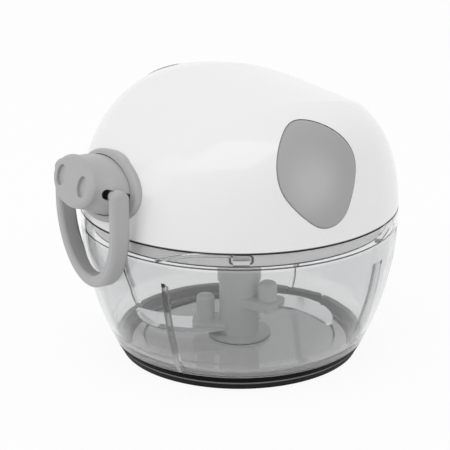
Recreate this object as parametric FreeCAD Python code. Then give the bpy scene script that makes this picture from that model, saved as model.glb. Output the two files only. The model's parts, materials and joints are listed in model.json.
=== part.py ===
import FreeCAD, Part
import math
import os

# Pull-cord food chopper.  Millimetres, +Z up.  The origin is on the bowl's axis
# at table level; the cord is pulled out towards -Y and the grip pads face +X and -X.

V = FreeCAD.Vector

# ---------------------------------------------------------------- driving sizes
# Bowl
rim_radius = 65.0            # outside of the bowl and of the lid where they meet
rim_height = 62.4            # top of the bowl above the table
belly_drop = 2.4             # upright part of the bowl's side, below its rim
belly_arc = 119.0            # radius of the bowl's side, seen from the side
bowl_wall = 2.2
rim_wall = 1.5
ledge_drop = 6.6             # from the rim to the ledge below its thinner wall
floor_top = 4.0
floor_step = 0.8             # raised margin round the flat middle
margin_width = 6.5
corner_height = 9.0          # rounding from floor to side
corner_run = 7.5
corner_bulge = 1.1
boss_radius = 5.0
boss_height = 3.0
fin_count = 4
fin_angle = 31.8             # polar angle of the first stirring fin
fin_thickness = 1.6
fin_depth = 2.4
fin_drop = 12.4              # from the rim to the fin's top
fin_slope_run = 12.0         # the fin's top slopes down inwards
fin_slope_drop = 10.0

# Foot
foot_height = 6.4
foot_depth = 2.6
foot_sole = 1.8              # rubber under the bowl
foot_width = 3.4
foot_groove = 0.5
foot_toe = 0.9               # rounding at the table

# Lid
seal_thickness = 0.6
seal_lip_width = 0.6
seal_lip_drop = 0.4
dome_height = 49.1           # height at which the rounded body would close
side_rise = 6.0              # how late the left and right sides turn in
side_fullness = 4.3
end_rise = 1.9               # how late the front and back turn in
end_fullness = 2.96
crown_shift = 3.4            # the crown sits this far behind the axis
crest_drop = 0.6             # the leaf-shaped top face lies this far below the closing height
crest_y = 4.3
top_fall_share = 0.62        # the top face falls this share of the height from crest to rim
crease_radius = 5.0
lid_wall = 2.4
dome_levels = (0, 0.12, 0.26, 0.42, 0.56, 0.68, 0.78, 0.86, 0.92, 0.965, 0.99)

# Grip pads, as an egg seen from the side: a large circle over a small one
pad_top_radius = 16.6
pad_top_y = -2.2
pad_top_rise = 29.4          # above the lid's rim
pad_low_radius = 10.3
pad_low_y = 0.9
pad_low_rise = 17.5
pad_flank_radius = 48.0      # flanks bulging from one circle to the other
pad_proud = 0.7
pad_sink = 1.1
pad_gap = 0.3

# Snout: the collar, knob and ring on the pull line
snout_rise = 16.3            # where the pull line leaves the lid, above the lid's rim
snout_sink = 1.15            # its origin inside the lid's front
snout_tilt = 15.7            # the pull line rises outwards by this angle
collar_half_width = 24.5
collar_half_height = 13.7
collar_proud = 2.2           # thickness of the collar over the lid
collar_rounding = 1.8
collar_lift = 0.2            # collar's lower edge above the lid's rim
seat_skin = 1.0              # collar's thickness under the knob, which hugs the lid too
seat_play = 0.3              # round the knob's back
spigot_radius = 6.0
spigot_length = 8.0
eyelet_radius = 3.4
eyelet_bore = 1.4
eyelet_lip = 5.0
lip_thickness = 0.8
retainer_radius = 9.5
retainer_depth = 6.4         # face of the retainer against the lid's inner wall
retainer_thickness = 1.0
retainer_slit = 1.0

knob_gap = 0.2
knob_face = 15.0             # distance of the knob's face along the pull line
knob_half_width = 17.0       # at its face
knob_half_height = 10.3
knob_waist = 0.7
knob_flare = 4.0             # the knob's back is this much wider to each side than its face
knob_flare_up = 0.8          # and this much taller
knob_brow = 4.5              # length of the wider part behind the face
knob_rounding = 2.1
knob_spans = 7               # cross-sections follow the knob's outline at this many steps
knob_base_thickness = 2.4
knob_base_gap = 0.4          # knob's flat base off the collar
knob_wall = 2.6
nostril_half_width = 3.5
nostril_half_height = 4.2
nostril_depth = 1.1
nostril_spacing = 18.2
slot_height = 4.2
slot_end = 10.0
pivot_along = 6.3            # ring's pivot along the pull line
knot_radius = 2.5
knot_floor = 1.6             # thickness under the knot
core_half_width = 6.0
core_half_height = 5.6
core_gap = 2.0               # from the core to the inside of the knob's face
cord_radius = 0.9
cord_clearance = 0.3

ring_clearance = 0.4         # between the knob's back and the ring's arm
ring_thickness = 5.0
ring_width = 7.2
ring_straight = 12.0
ring_bow = 29.8              # depth of the ring's lower bow, outside
ring_rounding = 1.5
ring_relief = 0.4            # the bow's back is hollowed to pass the bowl's rim
trunnion_clearance = 0.25
trunnion_reach = 3.0

# Bayonet between lid and bowl
lug_count = 4
lug_angle = -29.8            # polar angle of the first lug, at rest beside its ramp
lug_width = 6.3
lug_height = 2.0
lug_drop = 4.5               # middle of a lug below the lid's rim
lug_reach = 2.5
lug_clearance = 0.6
ramp_lead = 17.0             # angle from a lug to the middle of its ramp
ramp_half_length = 15.5
ramp_depth = 2.1
ramp_thickness = 1.0
ramp_low_drop = 6.2          # the ramp's line below the bowl's rim, from end to end
ramp_middle_drop = 2.1
ramp_high_drop = 1.0
ramp_middle_share = 0.1      # the ramp bends this share of its half length before its middle

# Mechanism cover
cover_thickness = 2.0
cover_gap = 0.4
skirt_wall = 1.8
skirt_drop = 7.0             # skirt below the lid's rim
rib_count = 6
rib_thickness = 1.6
rib_depth = 3.0
bearing_wall = 2.7
bearing_depth = 4.0
screw_count = 4
screw_circle = 47.0
screw_angle = 35.0
screw_post_radius = 3.6
screw_radius = 1.25
screw_play = 0.2
screw_head_radius = 2.6
screw_head_height = 1.6
screw_head_play = 0.3
screw_length = 9.0
screw_slot_width = 0.7
screw_slot_depth = 0.8
screw_slot_half = 1.5

# Reel bridge
bridge_room = 2.0            # between the spring cup and the bridge
bridge_thickness = 2.4
bridge_radius = 27.0
bridge_rim = 6.0             # width of the bridge's rim outside its windows
bridge_middle = 9.0          # radius left round the axle
window_half_angle = 32.0
leg_circle = 31.0
leg_radius = 3.6
leg_count = 3
leg_angle = 90.0
leg_screw_length = 7.0
leg_screw_room = 0.5
axle_radius = 2.5
axle_tail = 1.0              # axle below the reel
axle_head_radius = 5.0
axle_head_height = 1.4
axle_slit = 0.6
clip_radius = 4.6
clip_thickness = 0.8
clip_bite = 0.6
clip_play = 0.1
clip_mouth = 2.6

# Reel, cord and spring
reel_flange_radius = 25.5
reel_core_radius = 16.0
reel_lift = 3.6              # reel above the mechanism cover
hub_recess = 1.0             # hollow under the reel for the clip and pawls
flange_thickness = 1.4
groove_height = 5.6
spring_wall = 1.6
spring_cup_radius = 22.0
spring_cup_height = 9.0
running_gap = 0.06
wound_radius = 20.6
wound_rows = 3
winding_gap = 0.2
winding_crease = 0.6
lead_gap = 0.3               # cord's run off the turns on the reel
spring_turns = 6
spring_strip = 0.45
spring_height = 6.4
spring_lift = 1.0
spring_gap = 0.6             # spring to axle
spring_play = 1.0            # spring to cup
ratchet_teeth = 12
ratchet_outer = 14.6
ratchet_depth = 1.6
ratchet_wall = 2.2
ratchet_height = 2.6
ratchet_slope = 0.8          # share of a tooth's pitch that rises
lightening_count = 6
lightening_circle = 11.0
lightening_radius = 2.6

# Drive socket and blade column
socket_radius = 8.9
socket_drop = 6.4            # socket below the lid's rim
socket_flange_radius = 13.0
socket_flange_height = 1.5
socket_lift = 0.2
socket_bore = 6.4
dog_inner = 3.9
dog_half_angle = 20.0
dog_count = 2
dog_recess = 0.6
pawl_count = 2
pawl_pin_circle = 7.2
pawl_pin_radius = 1.2
pawl_boss_radius = 2.4
pawl_thickness = 1.8
pawl_clearance = 0.5         # from the pawl's tip to the ratchet
pawl_angle = 52.0
pawl_tail = 1.4
pawl_width_angle = 8.0
column_gap = 0.6             # column below the socket
column_radius = 8.4
column_collar_radius = 9.1
column_collar_rise = 24.7    # above the bowl's floor
tip_radius = 3.5
wing_radius = 6.0
wing_half_angle = 18.0
tip_height = 5.6
hub_disc_radius = 13.0
hub_disc_thickness = 1.4
hub_lift = 0.3               # hub above the bowl's floor and boss
pin_radius = 2.0
pin_length = 31.4
pin_floor = 0.8              # bowl's floor left under the pin
pin_taper = 0.6
pin_clearance = 0.08
arm_half_width = 6.4
arm_reach = 19.5
arm_thickness = 3.4
arm_rounding = 2.6
peg_radius = 3.8
peg_circle = 14.2
lower_peg_height = 10.4
upper_peg_height = 7.8
peg_rounding = 1.7

lower_arm_angle = 236.0      # polar angles of the two arms and their blades, at rest
upper_arm_angle = 25.0
lower_blade_angle = 238.3
upper_blade_angle = 37.5
lower_arm_rise = 3.4         # above the bowl's floor
upper_arm_rise = 15.0
blade_thickness = 1.2
blade_inset = 1.0            # height of the blade above its arm's underside
blade_grind = 0.84
blade_bevel = 2.2
blade_root = 6.0             # start of the blade in the column, from the axis
blade_root_front = 7.6       # cutting edge and hollow back at the root, across the blade
blade_root_back = -4.2
blade_reach = 44.2           # outermost part of the blade
blade_reach_start = -10.4
blade_reach_end = -13.6
blade_belly_share = 0.452    # fullest place of the cutting edge, as a share of the reach
blade_belly_width = 10.0
blade_bend_share = 0.769     # where the cutting edge turns back towards the tip
blade_bend_width = 5.6
blade_shoulder_share = 0.923
blade_shoulder_width = -1.6
blade_tip_share = 0.973
blade_tip_width = -14.5
blade_hollow_share = 0.814   # the hollow back's arc runs from the tip to the hollow's end
blade_hollow_width = -9.6
blade_hollow_end_share = 0.588
blade_hollow_end_width = -5.0

cut_margin = 1.0             # how far a cutting shape runs past what it cuts
flat_within = 0.01           # an edge this thin in one direction lies in a plane

# ---------------------------------------------------------------- derived places
top_fall = top_fall_share * dome_height
top_arc = ((rim_radius + crest_y) ** 2 + top_fall ** 2) / (2 * top_fall)
belly_height = rim_height - belly_drop
ledge_height = rim_height - ledge_drop
fin_top = rim_height - fin_drop
lid_base = rim_height + seal_thickness
cover_top = lid_base + cover_thickness
skirt_radius = rim_radius - rim_wall - lug_clearance - lug_reach
lug_z = lid_base - lug_drop
pad_top_z = lid_base + pad_top_rise
pad_low_z = lid_base + pad_low_rise
pad_reach = rim_radius + 2 * pad_proud
blade_belly = blade_belly_share * blade_reach
blade_bend = blade_bend_share * blade_reach
knob_back_width = knob_half_width + knob_flare
knob_back_height = knob_half_height + knob_flare_up
ring_inner_half = knob_back_width + ring_clearance
trunnion_radius = slot_height / 2 - trunnion_clearance
spigot_end = -spigot_length
retainer_along = -retainer_depth
seat_along = snout_sink + seat_skin
knob_back = seat_along + knob_base_gap
knob_deep = -collar_half_height / 2
reel_bottom = cover_top + reel_lift
reel_groove_z = reel_bottom + flange_thickness
groove_top = reel_groove_z + groove_height
groove_middle_z = reel_groove_z + groove_height / 2
reel_top = groove_top + flange_thickness
bridge_plate_z = reel_top + spring_cup_height + bridge_room
axle_bottom = reel_bottom - axle_tail
drive_bore = socket_radius + running_gap
socket_bottom = lid_base - socket_drop
column_top = socket_bottom - column_gap
column_collar_z = floor_top + column_collar_rise
lower_arm_z = floor_top + lower_arm_rise
upper_arm_z = floor_top + upper_arm_rise
pin_low = foot_sole + pin_floor
pin_top = pin_low + pin_length


def lid_section(level, inset=0.0):
    # Half width, half depth, middle and height of the rounded body at a share of its height.
    radius = rim_radius - inset
    half_width = radius * (1 - level ** side_rise) ** (1 / side_fullness)
    half_depth = radius * (1 - level ** end_rise) ** (1 / end_fullness)
    height = lid_base + (dome_height - inset) * level
    return half_width, half_depth, crown_shift * level ** 3, height


snout_width, snout_depth, snout_middle, snout_z = lid_section(snout_rise / dome_height)
snout_y = snout_middle - snout_depth + snout_sink
snout_place = FreeCAD.Placement(
    V(0, snout_y, snout_z), FreeCAD.Rotation(V(1, 0, 0), 90 - snout_tilt))
parts = {}


# ---------------------------------------------------------------- small helpers
def cylinder(radius, low, high, x=0.0, y=0.0):
    return Part.makeCylinder(radius, high - low, V(x, y, low))


def tube(outer, inner, low, high, x=0.0, y=0.0):
    bore = cylinder(inner, low - cut_margin, high + cut_margin, x, y)
    return cylinder(outer, low, high, x, y).cut(bore)


def box(x0, y0, z0, x1, y1, z1):
    return Part.makeBox(x1 - x0, y1 - y0, z1 - z0, V(x0, y0, z0))


def turned(shape, angle):
    copy = shape.copy()
    copy.rotate(V(0, 0, 0), V(0, 0, 1), angle)
    return copy


def on_snout(shape):
    copy = shape.copy()
    copy.Placement = snout_place.multiply(copy.Placement)
    return copy


def polar(radius, angle):
    turn = math.radians(angle)
    return radius * math.cos(turn), radius * math.sin(turn)


def joined(shapes):
    result = shapes[0]
    for shape in shapes[1:]:
        result = result.fuse(shape)
    return result.removeSplitter()


def arc_through(a, b, c):
    return Part.Arc(a, b, c).toShape()


def line(a, b):
    return Part.LineSegment(a, b).toShape()


def revolved(edges):
    face = Part.Face(Part.Wire(edges))
    return face.revolve(V(0, 0, 0), V(0, 0, 1), 360)


def polygon(points):
    return Part.Face(Part.makePolygon(points + [points[0]]))


def sector(radius, half_angle, low, high, angle=0.0):
    # A wedge of a disc, pointing along +X before it is turned.
    x, y = polar(radius, half_angle)
    edges = [line(V(0, 0, low), V(x, -y, low)),
             arc_through(V(x, -y, low), V(radius, 0, low), V(x, y, low)),
             line(V(x, y, low), V(0, 0, low))]
    wedge = Part.Face(Part.Wire(edges)).extrude(V(0, 0, high - low))
    return turned(wedge, angle)


def keep(name, shape):
    parts[name] = shape


# ---------------------------------------------------------------- bowl and foot
def side_radius(z):
    # Outside radius of the bowl at height z.
    below = max(belly_height - z, 0.0)
    return rim_radius - belly_arc + math.sqrt(belly_arc ** 2 - below ** 2)


def side_arc(low, high, inset=0.0):
    middle = (low + high) / 2
    points = [V(side_radius(z) - inset, 0, z) for z in (low, middle, high)]
    return arc_through(*points)


def stirring_fin(cavity):
    # A slender upright fin on the bowl's inner side, thinning out at its top.
    half = fin_thickness / 2
    blank = box(rim_radius / 2, -half, floor_top, rim_radius, half, fin_top)
    inset = bowl_wall + fin_depth
    inner = revolved([
        side_arc(0, belly_height, inset),
        line(V(side_radius(belly_height) - inset, 0, belly_height), V(0, 0, belly_height)),
        line(V(0, 0, belly_height), V(0, 0, 0)),
        line(V(0, 0, 0), V(side_radius(0) - inset, 0, 0))])
    fin = blank.common(cavity).cut(inner)
    slope = polygon([
        V(rim_radius - fin_slope_run, -fin_thickness, fin_top),
        V(rim_radius, -fin_thickness, fin_top),
        V(rim_radius - fin_slope_run, -fin_thickness, fin_top - fin_slope_drop)])
    return fin.cut(slope.extrude(V(0, 2 * fin_thickness, 0)))


def cam_ramp():
    # The lug slides under this ramp as the lid is turned; its low end is the stop.
    places = ((-ramp_half_length, ramp_low_drop),
              (-ramp_half_length * ramp_middle_share, ramp_middle_drop),
              (ramp_half_length, ramp_high_drop))
    lower = [V(rim_radius, y, rim_height - drop - ramp_thickness / 2) for y, drop in places]
    upper = [point + V(0, 0, ramp_thickness) for point in lower]
    strip = Part.Face(Part.Wire([
        arc_through(*lower), line(lower[2], upper[2]),
        arc_through(upper[2], upper[1], upper[0]), line(upper[0], lower[0])]))
    inner = rim_radius - rim_wall
    blank = strip.extrude(V(-rim_radius / 2, 0, 0))
    return blank.common(tube(inner + rim_wall / 2, inner - ramp_depth, ledge_height, rim_height))


def bowl_cavity():
    wall_start = floor_top + floor_step + corner_height
    wall_foot = V(side_radius(wall_start) - bowl_wall, 0, wall_start)
    margin = V(wall_foot.x - corner_run, 0, floor_top + floor_step)
    floor_edge = V(margin.x - margin_width, 0, floor_top)
    step_edge = V(floor_edge.x + floor_step, 0, margin.z)
    bulge = (margin + wall_foot) * 0.5 + V(corner_bulge, 0, -corner_bulge)
    rim_inner = rim_radius - rim_wall
    ledge_inner = side_radius(ledge_height) - bowl_wall
    above = rim_height + cut_margin
    return revolved([
        line(V(0, 0, floor_top), floor_edge),
        line(floor_edge, step_edge),
        line(step_edge, margin),
        arc_through(margin, bulge, wall_foot),
        side_arc(wall_start, ledge_height, bowl_wall),
        line(V(ledge_inner, 0, ledge_height), V(rim_inner, 0, ledge_height)),
        line(V(rim_inner, 0, ledge_height), V(rim_inner, 0, above)),
        line(V(rim_inner, 0, above), V(0, 0, above)),
        line(V(0, 0, above), V(0, 0, floor_top))])


def make_bowl():
    rebate = side_radius(foot_height) - foot_depth
    outer = revolved([
        line(V(0, 0, foot_sole), V(rebate, 0, foot_sole)),
        line(V(rebate, 0, foot_sole), V(rebate, 0, foot_height)),
        line(V(rebate, 0, foot_height), V(side_radius(foot_height), 0, foot_height)),
        side_arc(foot_height, belly_height),
        line(V(rim_radius, 0, belly_height), V(rim_radius, 0, rim_height)),
        line(V(rim_radius, 0, rim_height), V(0, 0, rim_height)),
        line(V(0, 0, rim_height), V(0, 0, foot_sole))])
    cavity = bowl_cavity()
    shape = outer.cut(cavity)
    pin_boss = cylinder(boss_radius, pin_low, floor_top + boss_height)
    fins = [turned(stirring_fin(cavity), fin_angle + 360 / fin_count * i) for i in range(fin_count)]
    ramp_step = 360 / lug_count
    ramps = [turned(cam_ramp(), lug_angle - ramp_lead + ramp_step * i) for i in range(lug_count)]
    shape = joined([shape, pin_boss] + fins + ramps)
    pin_hole = cylinder(pin_radius, pin_low, floor_top + boss_height + cut_margin)
    keep("bowl", shape.cut(pin_hole))


def make_foot_ring():
    rebate = side_radius(foot_height) - foot_depth
    inner_radius = side_radius(0) - foot_width
    sole_radius = side_radius(0) - foot_toe
    toe_middle = V(side_radius(foot_toe) - foot_toe * 0.3, 0, foot_toe * 0.3)
    ring = revolved([
        line(V(inner_radius, 0, 0), V(sole_radius, 0, 0)),
        arc_through(V(sole_radius, 0, 0), toe_middle, V(side_radius(foot_toe), 0, foot_toe)),
        side_arc(foot_toe, foot_height),
        line(V(side_radius(foot_height), 0, foot_height), V(rebate, 0, foot_height)),
        line(V(rebate, 0, foot_height), V(rebate, 0, foot_sole)),
        line(V(rebate, 0, foot_sole), V(inner_radius, 0, foot_sole)),
        line(V(inner_radius, 0, foot_sole), V(inner_radius, 0, 0))])
    groove_z = foot_height / 2
    mouth = side_radius(groove_z) + foot_groove
    groove = polygon([V(mouth, 0, groove_z - 2 * foot_groove), V(mouth, 0, groove_z + 2 * foot_groove),
                      V(mouth - 2 * foot_groove, 0, groove_z)])
    keep("foot_ring", ring.cut(groove.revolve(V(0, 0, 0), V(0, 0, 1), 360)))


def make_pivot_pin():
    pin = cylinder(pin_radius, pin_low, pin_top)
    keep("pivot_pin", pin.makeChamfer(pin_taper, [pin.Edges[0]]))


# ---------------------------------------------------------------- blade set
def blade_outline(z):
    # Sickle blade pointing along +X: a bulging cutting edge on +Y, hollow on -Y,
    # with its tip swept back.
    root_front = V(blade_root, blade_root_front, z)
    root_back = V(blade_root, blade_root_back, z)
    bend = V(blade_bend, blade_bend_width, z)
    shoulder = V(blade_shoulder_share * blade_reach, blade_shoulder_width, z)
    reach_start = V(blade_reach, blade_reach_start, z)
    tip = V(blade_tip_share * blade_reach, blade_tip_width, z)
    hollow = V(blade_hollow_share * blade_reach, blade_hollow_width, z)
    hollow_end = V(blade_hollow_end_share * blade_reach, blade_hollow_end_width, z)
    return Part.Wire([
        arc_through(root_front, V(blade_belly, blade_belly_width, z), bend),
        arc_through(bend, shoulder, reach_start),
        arc_through(reach_start, V(blade_reach, blade_reach_end, z), tip),
        arc_through(tip, hollow, hollow_end),
        line(hollow_end, root_back),
        line(root_back, root_front)])


def sickle_blade(low):
    # The cutting edge is ground from above, leaving a bevel along the bulging side.
    blade = Part.Face(blade_outline(low)).extrude(V(0, 0, blade_thickness))
    ground = []
    for edge in blade.Edges:
        size = edge.BoundBox
        on_top = size.ZMin > low + blade_thickness / 2 and size.ZLength < blade_thickness / 2
        belly = size.YMin > 0 and size.XLength > blade_belly
        shoulder = size.XMin > blade_bend - blade_bevel and size.YLength > blade_belly_width
        if on_top and (belly or shoulder):
            ground.append(edge)
    return blade.makeChamfer(blade_grind, blade_bevel, ground)


def arm_plate(low, peg_height):
    top = low + arm_thickness
    plate = box(0, -arm_half_width, low, arm_reach, arm_half_width, top)
    upright = [edge for edge in plate.Edges
               if edge.BoundBox.ZLength > arm_thickness / 2 and edge.BoundBox.XMin > arm_reach / 2]
    plate = plate.makeFillet(arm_rounding, upright)
    peg = cylinder(peg_radius, low, top + peg_height, peg_circle)
    rim = [edge for edge in peg.Edges if edge.BoundBox.ZMin > top]
    return plate.fuse(peg.makeFillet(peg_rounding, rim))


def make_blade_set():
    disc_low = floor_top + boss_height + hub_lift
    skirt_low = floor_top + hub_lift
    column = cylinder(column_radius, skirt_low, column_collar_z)
    collar = cylinder(column_collar_radius, column_collar_z, column_top)
    disc = cylinder(hub_disc_radius, skirt_low, skirt_low + hub_disc_thickness)
    tip = cylinder(tip_radius, column_top, column_top + tip_height)
    wings = [sector(wing_radius, wing_half_angle, column_top, column_top + tip_height, 180 * i)
             for i in range(dog_count)]
    arms = [turned(arm_plate(lower_arm_z, lower_peg_height), lower_arm_angle),
            turned(arm_plate(upper_arm_z, upper_peg_height), upper_arm_angle)]
    hub = joined([column, collar, disc, tip] + wings + arms)
    below = skirt_low - cut_margin
    hub = hub.cut(cylinder(boss_radius + hub_lift, below, disc_low))
    hub = hub.cut(cylinder(pin_radius + pin_clearance, below, pin_top + cut_margin))
    lower = turned(sickle_blade(lower_arm_z + blade_inset), lower_blade_angle)
    upper = turned(sickle_blade(upper_arm_z + blade_inset), upper_blade_angle)
    keep("blade_hub", hub.cut(lower).cut(upper))
    keep("lower_blade", lower)
    keep("upper_blade", upper)


# ---------------------------------------------------------------- lid
def dome_section(level, inset):
    half_width, half_depth, middle, height = lid_section(level, inset)
    return Part.Wire(Part.Ellipse(V(0, middle, height), half_width, half_depth).toShape())


def rounded_body(inset):
    return Part.makeLoft([dome_section(level, inset) for level in dome_levels], True, False)


def dome(inset):
    # Rounded body cut by the leaf-shaped top face, which is straight from side to side.
    crest = lid_base + dome_height - crest_drop - inset
    reach = rim_radius + 2 * collar_proud
    arc = top_arc - inset

    def top_point(y):
        return V(-reach, y, crest - arc + math.sqrt(arc ** 2 - (y - crest_y) ** 2))

    low = lid_base - cut_margin
    profile = Part.Wire([
        line(V(-reach, -reach, low), top_point(-reach)),
        arc_through(top_point(-reach), top_point(crest_y), top_point(reach)),
        line(top_point(reach), V(-reach, reach, low)),
        line(V(-reach, reach, low), V(-reach, -reach, low))])
    return rounded_body(inset).common(Part.Face(profile).extrude(V(2 * reach, 0, 0)))


def crease_edges(shape):
    found = []
    for edge in shape.Edges:
        size = edge.BoundBox
        if edge.CenterOfMass.z > lid_base + dome_height / 4 and size.YLength > 2 * crease_radius:
            found.append(edge)
    return found


def egg_prism(margin, side):
    # Prism along X with the grip pad's outline, on the side given by its sign: a large
    # circle over a small one, joined by flanks that touch both.
    top_radius = pad_top_radius + margin
    low_radius = pad_low_radius + margin
    top = V(0, pad_top_y, pad_top_z)
    low = V(0, pad_low_y, pad_low_z)
    down = (low - top).normalize()
    across = V(0, -down.z, down.y)
    distance = (low - top).Length
    from_top = pad_flank_radius - pad_top_radius
    from_low = pad_flank_radius - pad_low_radius
    along = (from_top ** 2 - from_low ** 2 + distance ** 2) / (2 * distance)
    aside = math.sqrt(from_top ** 2 - along ** 2)
    touches = []
    flanks = []
    for sign in (1, -1):
        centre = top + down * along - across * (sign * aside)
        upper = top + (top - centre).normalize() * top_radius
        lower = low + (low - centre).normalize() * low_radius
        outward = ((upper + lower) * 0.5 - centre).normalize()
        middle = centre + outward * (pad_flank_radius + margin)
        flanks.append(arc_through(upper, middle, lower))
        touches.append((upper, lower))
    crown = arc_through(touches[1][0], top - down * top_radius, touches[0][0])
    foot = arc_through(touches[0][1], low + down * low_radius, touches[1][1])
    outline = Part.Wire([crown, flanks[0], foot, flanks[1]])
    return Part.Face(outline).extrude(V(side * pad_reach, 0, 0))


def make_lid():
    sharp = dome(0)
    outer = sharp.makeFillet(crease_radius, crease_edges(sharp))
    cavity = dome(lid_wall)
    shell = outer.cut(cavity)
    pad_floor = dome(pad_sink)
    pad_skin = dome(-pad_proud)
    bosses = []
    for x, y in cover_screw_places():
        post = cylinder(screw_post_radius, cover_top, lid_base + dome_height, x, y)
        bosses.append(post.common(cavity))
    shell = joined([shell] + bosses)
    for x, y in cover_screw_places():
        shell = shell.cut(cylinder(screw_radius, lid_base, cover_top + screw_length, x, y))
    for side, name in ((1, "grip_pad_right"), (-1, "grip_pad_left")):
        recess = egg_prism(pad_gap, side).cut(pad_floor)
        shell = shell.cut(recess)
        keep(name, pad_skin.common(egg_prism(0, side)).cut(pad_floor))
    shell = shell.cut(on_snout(cylinder(spigot_radius, spigot_end, knob_face)))
    keep("lid_shell", shell)
    return outer


def cover_screw_places():
    places = []
    for i in range(screw_count):
        angle = screw_angle + (180 - 2 * screw_angle) * (i % 2) + 180 * (i // 2)
        places.append(polar(screw_circle, angle))
    return places


def make_lid_seal():
    inner = skirt_radius + lug_clearance / 2
    outer = rim_radius - rim_wall / 3
    washer = tube(outer, inner, rim_height, lid_base)
    lip = tube(inner + seal_lip_width, inner, rim_height - seal_lip_drop, lid_base)
    keep("lid_seal", washer.fuse(lip).removeSplitter())


def leg_places():
    return [polar(leg_circle, leg_angle + 360 / leg_count * i) for i in range(leg_count)]


def make_mechanism_cover():
    plate = cylinder(rim_radius - lid_wall - cover_gap, lid_base, cover_top)
    skirt_inner = skirt_radius - skirt_wall
    skirt = tube(skirt_radius, skirt_inner, lid_base - skirt_drop, cover_top)
    lug_low = lug_z - lug_height / 2
    lug_ring = tube(skirt_radius + lug_reach, skirt_inner, lug_low, lug_low + lug_height)
    shapes = [plate, skirt]
    for i in range(lug_count):
        blank = box(skirt_inner, -lug_width / 2, lug_low, rim_radius, lug_width / 2, lug_low + lug_height)
        shapes.append(turned(blank.common(lug_ring), lug_angle + 360 / lug_count * i))
    for i in range(rib_count):
        rib = box(drive_bore + bearing_wall / 2, -rib_thickness / 2, lid_base - rib_depth,
                  skirt_inner + skirt_wall / 2, rib_thickness / 2, cover_top)
        shapes.append(turned(rib, 360 / rib_count * i))
    bearing = cylinder(drive_bore + bearing_wall, lid_base - bearing_depth, cover_top)
    cover = joined(shapes + [bearing])
    low = lid_base - skirt_drop
    high = cover_top + cut_margin
    cover = cover.cut(cylinder(drive_bore, low, high))
    for x, y in cover_screw_places() + leg_places():
        cover = cover.cut(cylinder(screw_radius + screw_play, low, high, x, y))
        cover = cover.cut(cylinder(screw_head_radius + screw_head_play, low, lid_base, x, y))
    keep("mechanism_cover", cover)


def screw(x, y, head_z, length):
    head_low = head_z - screw_head_height
    slot_top = head_low + screw_slot_depth
    half = screw_slot_width / 2
    long_half = screw_slot_half
    head = cylinder(screw_head_radius, head_low, head_z, x, y)
    shank = cylinder(screw_radius, head_low, head_z + length, x, y)
    cross = box(x - long_half, y - half, head_low, x + long_half, y + half, slot_top)
    other = box(x - half, y - long_half, head_low, x + half, y + long_half, slot_top)
    return head.fuse(shank).removeSplitter().cut(cross).cut(other)


def make_screws():
    covers = [screw(x, y, lid_base, screw_length) for x, y in cover_screw_places()]
    keep("cover_screws", Part.makeCompound(covers))
    legs = [screw(x, y, lid_base, leg_screw_length) for x, y in leg_places()]
    keep("bridge_screws", Part.makeCompound(legs))


# ---------------------------------------------------------------- reel mechanism
def make_reel_bridge():
    top = bridge_plate_z + bridge_thickness
    shapes = [cylinder(bridge_radius, bridge_plate_z, top)]
    for i, (x, y) in enumerate(leg_places()):
        shapes.append(cylinder(leg_radius, cover_top, top, x, y))
        arm = box(bridge_radius - bridge_rim, -leg_radius, bridge_plate_z, leg_circle, leg_radius, top)
        shapes.append(turned(arm, leg_angle + 360 / leg_count * i))
    bridge = joined(shapes).cut(cylinder(axle_radius, bridge_plate_z, top))
    window = tube(bridge_radius - bridge_rim, bridge_middle, bridge_plate_z, top)
    for i in range(leg_count):
        angle = leg_angle + 360 / leg_count * (i + 0.5)
        wedge = sector(bridge_radius, window_half_angle, bridge_plate_z, top, angle)
        bridge = bridge.cut(window.common(wedge))
    for x, y in leg_places():
        screw_end = lid_base + leg_screw_length + leg_screw_room
        bridge = bridge.cut(cylinder(screw_radius, lid_base, screw_end, x, y))
    keep("reel_bridge", bridge)


def make_reel_axle():
    top = bridge_plate_z + bridge_thickness
    pin = cylinder(axle_radius, axle_bottom, top)
    head = cylinder(axle_head_radius, top, top + axle_head_height)
    half = axle_slit / 2
    slit = box(-half, -axle_radius, reel_top + spring_lift - cut_margin / 2,
               half, axle_radius, bridge_plate_z - cut_margin / 2)
    clip_low = reel_bottom + hub_recess - clip_thickness - clip_play
    clip_high = clip_low + clip_thickness
    neck = axle_radius - clip_bite
    groove = tube(axle_radius + cut_margin, neck, clip_low, clip_high)
    keep("reel_axle", pin.fuse(head).removeSplitter().cut(groove).cut(slit))

    mouth = box(0, -clip_mouth / 2, clip_low, clip_radius, clip_mouth / 2, clip_high)
    keep("axle_clip", tube(clip_radius, neck, clip_low, clip_high).cut(mouth))


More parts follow.
